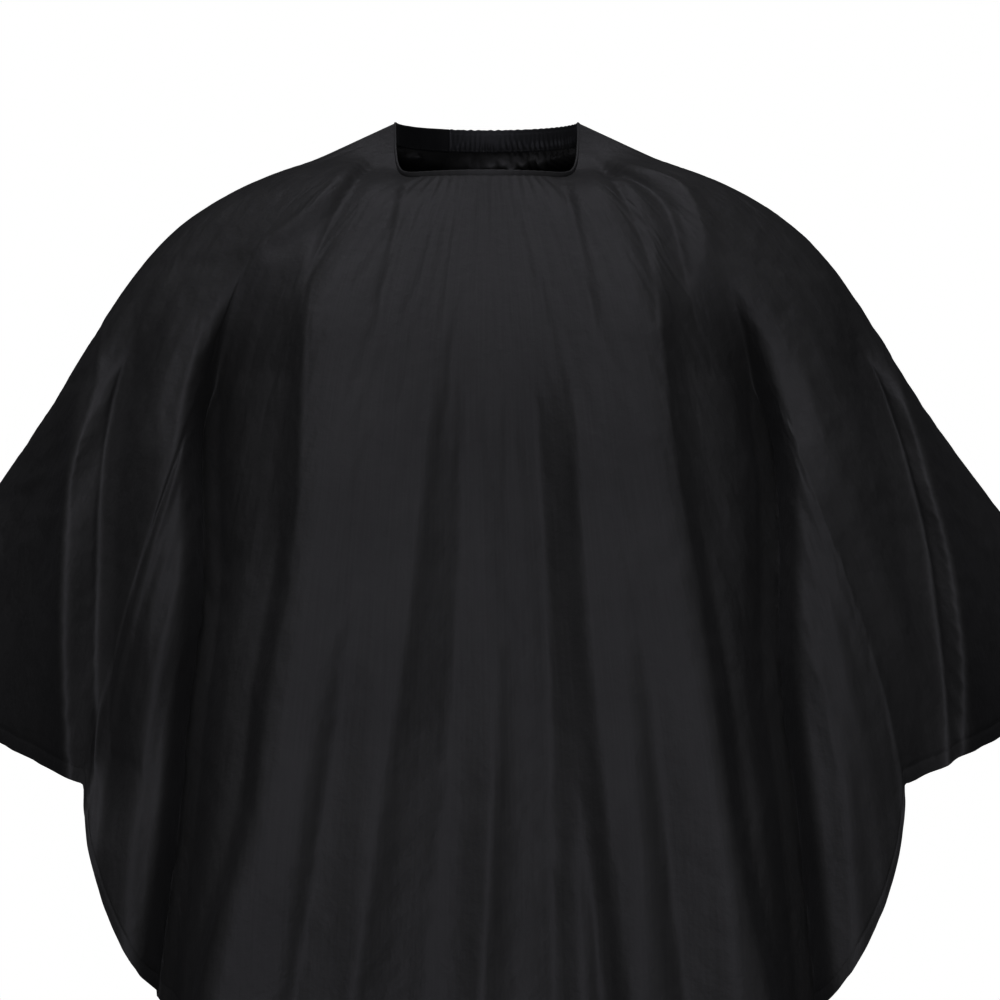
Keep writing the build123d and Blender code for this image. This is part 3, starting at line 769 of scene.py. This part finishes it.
def pile(name, radius, outward, arc, pitch, height, span, opened):
    """Rows of tiny nylon arches on a tape's face: closed ones are loops, opened ones are hooks."""
    start, end, low, high = arc
    rng = np.random.default_rng(11)
    points, faces = [], []
    for row, z in enumerate(np.arange(low, high, pitch)):
        for angle in np.arange(start + (row % 2) * pitch / 2 / radius, end, pitch / radius):
            lean = rng.uniform(-0.5, 0.5)
            tall = height * rng.uniform(0.75, 1.0)
            out = np.array([math.cos(angle), math.sin(angle), 0]) * outward
            along = np.array([-math.sin(angle), math.cos(angle), 0]) * math.cos(lean)
            along = along + np.array([0, 0, math.sin(lean)])
            side = np.cross(along, out)
            foot = np.array([radius * math.cos(angle), radius * math.sin(angle), z])
            first = len(points)
            for t in np.linspace(0, math.pi * (0.72 if opened else 1), 5):
                centre = foot - along * span / 2 * math.cos(t) + out * tall * math.sin(t)
                bulge = out * math.sin(t) - along * math.cos(t)
                for k in range(3):
                    a = 2 * math.pi * k / 3
                    points.append(centre + (bulge * math.cos(a) + side * math.sin(a)) * FILAMENT)
            for ring in range(4):
                for k in range(3):
                    here, there = first + ring * 3 + k, first + ring * 3 + (k + 1) % 3
                    faces.append((here, there, there + 3, here + 3))
    return make_object(name, points, faces)


def fibre_material(name, color, scale, roughness):
    """Fine tangled or knitted fibre."""
    material, nodes, links = new_material(name)
    shader = nodes["Principled BSDF"]
    solid = add_node(nodes, "TexCoord").outputs["Object"]
    cells = add_node(nodes, "TexVoronoi", Vector=solid, Scale=scale)
    cloud = add_node(nodes, "TexNoise", Vector=solid, Scale=scale / 6, Detail=4.0)
    mixed = add_node(nodes, "Math", operation="MULTIPLY")
    links.new(cells.outputs["Distance"], mixed.inputs[0])
    links.new(cloud.outputs["Fac"], mixed.inputs[1])
    tone = add_ramp(nodes, mixed.outputs["Value"], color, 0.55, 1.5, high=0.6)
    links.new(tone, shader.inputs["Base Color"])
    bump = add_node(nodes, "Bump", Height=cells.outputs["Distance"], Strength=0.7, Distance=0.00015)
    links.new(bump.outputs["Normal"], shader.inputs["Normal"])
    set_inputs(shader, Roughness=roughness)
    return material


binding_cloth = cloth_material("binding_tape", (0.0450, 0.0447, 0.0470), thread=0.0005, crumple=0.0005)
loop_fibre = fibre_material("loop_fibre", (0.020, 0.020, 0.022), 1600, 0.8)
hook_nylon = fibre_material("hook_nylon", (0.026, 0.026, 0.028), 900, 0.35)
elastic_knit = cloth_material("elastic_knit", (0.45, 0.44, 0.42), thread=0.0012, roughness=0.8, sheen=0.0)
stiffener_felt = fibre_material("stiffener_felt", (0.30, 0.30, 0.29), 700, 0.9)
label_satin = cloth_material("label_satin", (0.58, 0.58, 0.56), thread=0.0003, roughness=0.4, crumple=0.0002)
for node, finish in (
    ("neck_elastic", elastic_knit),
    ("elastic_end_tacks", thread),
    ("left_band_interlining", stiffener_felt),
    ("tab_interlining", stiffener_felt),
):
    bpy.data.objects[node].material_slots[0].material = finish


# ---- neck band ----
end_inner, end_outer, end_start, end_stop, band_bottom, band_top = arc_of("left_band_end")
casing_low, casing_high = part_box("elastic_casing")
casing_outer = casing_high.x / math.cos(math.radians(2))
casing_start = math.asin(casing_low.y / NECK)
casing_stop = math.acos(casing_low.x / NECK)
tab_inner, tab_outer, tab_start, tab_stop, _, _ = arc_of("closure_tab")
sewn_inner, _, sewn_start, sewn_stop, _, _ = arc_of("closure_tab_sewn_end")
SEAM_MARGIN = 0.02  # angle between a strip's end and the seam's


def smooth_end(angle, loop, middle):
    """Slight unevenness of a stiffened folded band."""
    z = loop[:, 1]
    wave = ripples(21, np.full_like(z, angle), z * 90, 4, 8, 30)
    return np.c_[wave * 0.00030, wave * 0.00025]


GATHER = 0.00085  # height of the casing's puckers
SEWN_DENT = 0.0006  # how deep its sewn lines sink in


def gathers(angle, loop, middle):
    """Slanting puckers that the elastic draws in its casing, flattened along the two sewn lines."""
    r, z = loop[:, 0], loop[:, 1]
    wave = ripples(22, np.full_like(z, angle), z * 170, 6, 70, 120) * 2.2
    sewn = np.exp(-(((z - band_bottom - 0.0016) / 0.0012) ** 2))
    sewn = sewn + np.exp(-(((z - band_top + 0.0022) / 0.0010) ** 2))
    height = GATHER * (1 - 0.8 * np.clip(sewn, 0, 1))
    height = height * (1 - 0.85 * rise(z, band_top - 0.013, band_top - 0.008))
    edge = ripples(23, np.full_like(z, angle), z * 0, 4, 40, 90) * 0.0007
    return np.c_[np.sign(r - middle) * (wave * height - SEWN_DENT * sewn), edge]


def binding_wave(angle, loop, middle):
    """Uneven edges of the folded tape, and the groove of its stitches."""
    z = loop[:, 1]
    wave = ripples(24, np.full_like(z, angle), z * 0, 5, 20, 90)
    groove = np.exp(-(((z - z.min() - 0.0013) / 0.0005) ** 2)) * np.sign(loop[:, 0] - middle)
    return np.c_[wave * 0.00035 - groove * 0.00025, wave * 0.0003]


left_end = strip(
    "left_band_end_cloth", end_start, end_stop, even(end_inner, end_outer, band_bottom, band_top),
    steps=12, shift=smooth_end,
)
# the left band end gets the darker copy of the band fabric, which is painted shade
finish_piece(left_end, painted_shade_end_cloth, "cape", "left_band_end")
casing = strip(
    "elastic_casing_cloth", casing_start, casing_stop,
    even(NECK + 0.0002, casing_outer, band_bottom, band_top),
    steps=16, step=0.00055, shift=gathers,
)
finish_piece(casing, band_cloth, "cape", "elastic_casing")

seam_level = band_bottom + 0.0014
seam_start, seam_stop = casing_start + SEAM_MARGIN, casing_stop - SEAM_MARGIN
seam = neck_line(casing_outer + 0.0001, seam_level, seam_start, sewn_start - SEAM_MARGIN)
seam += neck_line(NECK - 0.0001, seam_level, seam_start, seam_stop, outward=-1)
seam += neck_line(end_outer, seam_level, tab_stop + SEAM_MARGIN, end_stop - SEAM_MARGIN)
seam += neck_line(end_inner, seam_level, end_start + SEAM_MARGIN, end_stop - SEAM_MARGIN, outward=-1)
sew("band_seam_thread", seam, "cape", "band_seam_stitching")

# ---- front binding ----
binding_start, binding_stop = math.radians(179), math.radians(361)
binding_face = NECK + 0.0023
binding = strip(
    "front_neck_binding_tape", binding_start, binding_stop,
    lambda a: (NECK + 0.0005, binding_face, binding_low(a), neckline(a)),
    steps=8, step=0.0008, shift=binding_wave,
)
finish_piece(binding, binding_cloth, "cape", "front_neck_binding")
binding_seam = neck_line(
    binding_face, lambda a: binding_low(a) + 0.0013, binding_start + 0.12, binding_stop - 0.12
)
sew("front_binding_thread", binding_seam, "cape", "front_binding_stitching")

# ---- touch-and-close tapes and the tab ----
loop_inner, loop_outer, loop_start, loop_stop, loop_low, loop_high = arc_of("loop_tape")
loop_size = even(loop_inner, loop_outer - 0.0003, loop_low, loop_high)
loops_base = strip("loop_tape_base", loop_start, loop_stop, loop_size)
finish_piece(loops_base, loop_fibre, "cape", "loop_tape")
loops = pile(
    "loop_tape_pile", loop_outer - 0.0004, outward=1,
    arc=(loop_start + SEAM_MARGIN, loop_stop - SEAM_MARGIN, loop_low + 0.001, loop_high - 0.001),
    pitch=0.0009, height=0.00042, span=0.0006, opened=False,
)
loops.data.materials.append(loop_fibre)
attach(loops, "cape")
levels = (loop_low + 0.0016, loop_high - 0.0016)
loop_seams = []
for z in levels:
    loop_seams += neck_line(loop_outer - 0.0002, z, loop_start + 0.01, loop_stop - 0.01)
sew("loop_tape_thread", loop_seams, "cape", "loop_tape_stitching")

hook_inner, hook_outer, hook_start, hook_stop, hook_low, hook_high = arc_of("hook_tape")
hook_size = even(hook_inner + 0.0004, hook_outer, hook_low, hook_high)
hooks_base = strip("hook_tape_base", hook_start, hook_stop, hook_size)
finish_piece(hooks_base, hook_nylon, "tab", "hook_tape")
hooks = pile(
    "hook_tape_hooks", hook_inner + 0.00045, outward=-1,
    arc=(hook_start + SEAM_MARGIN, hook_stop - SEAM_MARGIN, hook_low + 0.001, hook_high - 0.001),
    pitch=0.0012, height=0.00045, span=0.0005, opened=True,
)
hooks.data.materials.append(hook_nylon)
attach(hooks, "tab")

TIP = 0.004  # radius of the tab's rounded corners


def strap_size(angle):
    """The sewn end is thicker where it lies on the casing, and the tip has rounded corners."""
    thick = float(rise(np.array(tab_start - angle), 0.0, 0.06))
    inner = tab_inner + (sewn_inner - tab_inner) * thick
    left = max(0.0, TIP - (tab_stop - angle) * tab_outer)
    cut = TIP - math.sqrt(max(0.0, TIP**2 - left**2))
    return inner, tab_outer, band_bottom + cut, band_top - cut


strap = strip(
    "closure_tab_cloth", sewn_start, tab_stop, strap_size, steps=10, step=0.0008, shift=smooth_end
)
strap.data.materials.append(band_cloth)
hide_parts("closure_tab", "closure_tab_sewn_end")
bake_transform(strap)
tab_face = tab_outer + 0.0001


def cross_seam(angle):
    """Places for stitches straight across the tab."""
    out = [math.cos(angle), math.sin(angle), 0.0]
    line = [(tab_face * out[0], tab_face * out[1], z) for z in np.linspace(levels[0], levels[1], 12)]
    return sewn_line(np.array(line), np.tile(out, (12, 1)))


tab_seams, root_seams = [], []
for z in levels:
    tab_seams += neck_line(tab_face, z, hook_start, tab_stop - 0.05)
    root_seams += neck_line(tab_face, z, sewn_start + 0.02, sewn_stop - 0.03)
tab_seams += cross_seam(tab_stop - 0.045)
sew("hook_tape_thread", tab_seams, "tab", "hook_tape_stitching")
root_seams += cross_seam(sewn_start + 0.025) + cross_seam(sewn_stop - 0.035)
sew("sewn_end_thread", root_seams, "cape", "sewn_end_stitching")

# ---- thread in the panel: hem, slit edges and the bar tack at the slit's end ----
stitch_row = len(panel_down) - len(HEM_ROWS) + HEM_ROWS.index(HEM)
hem_seam = sewn_line(panel_grid[stitch_row], panel_normal[stitch_row])
sew("hem_thread", hem_seam, "cape", "hem_stitching")
SLIT_SEAM = 0.004  # how far from the slit's edges their stitches are
NEAR_SLIT = 40  # columns beside the slit that are searched for that place
slit_places = []
for edge in (0, -1):
    line, out = [], []
    for i in range(3, slit_row):
        row, row_out = panel_grid[i], panel_normal[i]
        if edge == -1:
            row, row_out = row[::-1], row_out[::-1]
        away = np.linalg.norm(row[:NEAR_SLIT] - row[0], axis=1)
        line.append([np.interp(SLIT_SEAM, away, row[:NEAR_SLIT, k]) for k in range(3)])
        out.append([np.interp(SLIT_SEAM, away, row_out[:NEAR_SLIT, k]) for k in range(3)])
    slit_places += sewn_line(np.array(line), np.array(out))
slit_thread = stitches("slit_edge_thread", slit_places)
slit_thread.data.materials.append(thread)
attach(slit_thread, "cape")
slit_end = panel_grid[slit_row + 1, 0]
slit_out = panel_normal[slit_row + 1, 0]
slit_down = panel_grid[slit_row + 3, 0] - panel_grid[slit_row, 0]
slit_down = slit_down / np.linalg.norm(slit_down)
slit_side = np.cross(slit_down, slit_out)
tack = []
for k, t in enumerate(np.arange(-0.004, 0.0041, 0.0005)):
    middle = slit_end + slit_side * t + slit_down * 0.001 + slit_out * 0.0002
    tack.append((middle, slit_down + slit_side * 0.25 * (-1) ** k, slit_out))
sew("slit_bar_tack_thread", tack, "cape", "slit_bar_tack", thick=0.0005)

# ---- care label: small and blank, sewn inside the back hem ----
label_low, label_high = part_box("care_label")
behind_rows = range(len(panel_down) - 30, len(panel_down))
back_columns = np.where(panel_grid[-8, :, 1] > 0.05)[0]


def inside_back(x, from_hem):
    """A point on the back cloth at a distance across and above the hem."""
    heights, places = [], []
    for i in behind_rows:
        row = panel_grid[i, back_columns]
        order = np.argsort(row[:, 0])
        places.append([np.interp(x, row[order, 0], row[order, k]) for k in range(3)])
        heights.append(panel_down[-1] - panel_down[i])
    places, heights = np.array(places)[::-1], np.array(heights)[::-1]
    return np.array([np.interp(from_hem, heights, places[:, k]) for k in range(3)])


def label_point(x, from_hem):
    """A point of the label, which hangs off the cloth and bends away from it further up."""
    return inside_back(x, from_hem) + (0, -0.0016 - 0.0006 * (from_hem * 60) ** 2, 0)


LABEL_ABOVE = 0.004  # height of the label's foot above the hem's edge
LABEL_COLUMNS = 13
across = np.linspace(label_low.x, label_high.x, LABEL_COLUMNS)
upward = np.linspace(LABEL_ABOVE, LABEL_ABOVE + label_high.z - label_low.z, 9)
label_points = np.array([[label_point(a, b) for a in across] for b in upward])
label_grid = np.concatenate([label_points, label_points[::-1] - (0, 0.0003, 0)])
label_faces = grid_faces(len(label_grid) - 1, LABEL_COLUMNS - 1, welded_from=len(label_grid))
label = make_object("care_label_satin", label_grid.reshape(-1, 3), label_faces)
finish_piece(label, label_satin, "cape", "care_label")
label_line = label_points[1] - (0, 0.0004, 0)
label_places = sewn_line(label_line, np.tile([0.0, -1.0, 0.0], (LABEL_COLUMNS, 1)))
sew("care_label_thread", label_places, "cape", "care_label_stitching")

# ---- camera ----
camera_data = bpy.data.cameras.new("camera")
camera = bpy.data.objects.new("camera", camera_data)
bpy.context.scene.collection.objects.link(camera)
camera.location = (0.0103, -EYE_DISTANCE, EYE_HEIGHT)
camera.rotation_euler = (math.radians(90), 0, 0)
camera_data.lens = camera_data.sensor_width * EYE_DISTANCE / SEEN_WIDTH
bpy.context.scene.camera = camera


# ---- studio ----
LIT_POINT = Vector((0, 0, -0.35))


def soft_light(name, place, size, power):
    """A round soft light that looks at the cape."""
    data = bpy.data.lights.new(name, "AREA")
    data.shape = "DISK"
    data.size = size
    data.energy = power
    light = bpy.data.objects.new(name, data)
    bpy.context.scene.collection.objects.link(light)
    light.location = place
    light.rotation_euler = (LIT_POINT - Vector(place)).to_track_quat("-Z", "Y").to_euler()


soft_light("key", (-0.2, -4.2, 3.4), 2.6, 88)
soft_light("fill", (-0.1, -4.8, -1.2), 2.0, 152)
soft_light("top", (0.0, -0.5, 3.2), 1.6, 58)
soft_light("back", (0.3, 4.8, -0.5), 2.4, 50)

FLOOR_HALF = 6.0
floor_z = cad_low.z - 0.66
corners = ((-1, -1), (1, -1), (1, 1), (-1, 1))
floor_corners = [(x * FLOOR_HALF, y * FLOOR_HALF, floor_z) for x, y in corners]
floor = make_object("floor", floor_corners, [(0, 1, 2, 3)])
floor_material, floor_nodes, floor_links = new_material("studio_floor")
floor_shader = floor_nodes["Principled BSDF"]
speckle = add_node(floor_nodes, "TexNoise", Scale=3.0, Detail=3.0)
floor_tone = add_ramp(floor_nodes, speckle.outputs["Fac"], (1, 1, 1), 0.60, 0.68)
floor_links.new(floor_tone, floor_shader.inputs["Base Color"])
set_inputs(floor_shader, Roughness=0.9, Emission_Color=(1, 1, 1, 1), Emission_Strength=0.62)
floor.data.materials.append(floor_material)
floor.visible_glossy = floor.visible_diffuse = False

# the camera sees a white world, the cloth is lit by a dim one and reflects a darker one still
DAYLIGHT = (0.88, 0.91, 1.0, 1)
world = bpy.data.worlds.new("studio")
bpy.context.scene.world = world
world.use_nodes = True
world_nodes, world_links = world.node_tree.nodes, world.node_tree.links
ambient = world_nodes["Background"]
set_inputs(ambient, Color=DAYLIGHT, Strength=0.035)
white = add_node(world_nodes, "Background", Color=(1, 1, 1, 1), Strength=1.0)
path = add_node(world_nodes, "LightPath")
chosen = add_node(world_nodes, "MixShader")
dim = add_node(world_nodes, "Background", Color=DAYLIGHT, Strength=0.01)
reflected = add_node(world_nodes, "MixShader")
world_links.new(path.outputs["Is Glossy Ray"], reflected.inputs["Fac"])
world_links.new(ambient.outputs["Background"], reflected.inputs[1])
world_links.new(dim.outputs["Background"], reflected.inputs[2])
world_links.new(path.outputs["Is Camera Ray"], chosen.inputs["Fac"])
world_links.new(reflected.outputs["Shader"], chosen.inputs[1])
world_links.new(white.outputs["Background"], chosen.inputs[2])
world_links.new(chosen.outputs["Shader"], world_nodes["World Output"].inputs["Surface"])
bpy.context.scene.view_settings.view_transform = "Standard"
bpy.context.scene.view_settings.gamma = 0.75
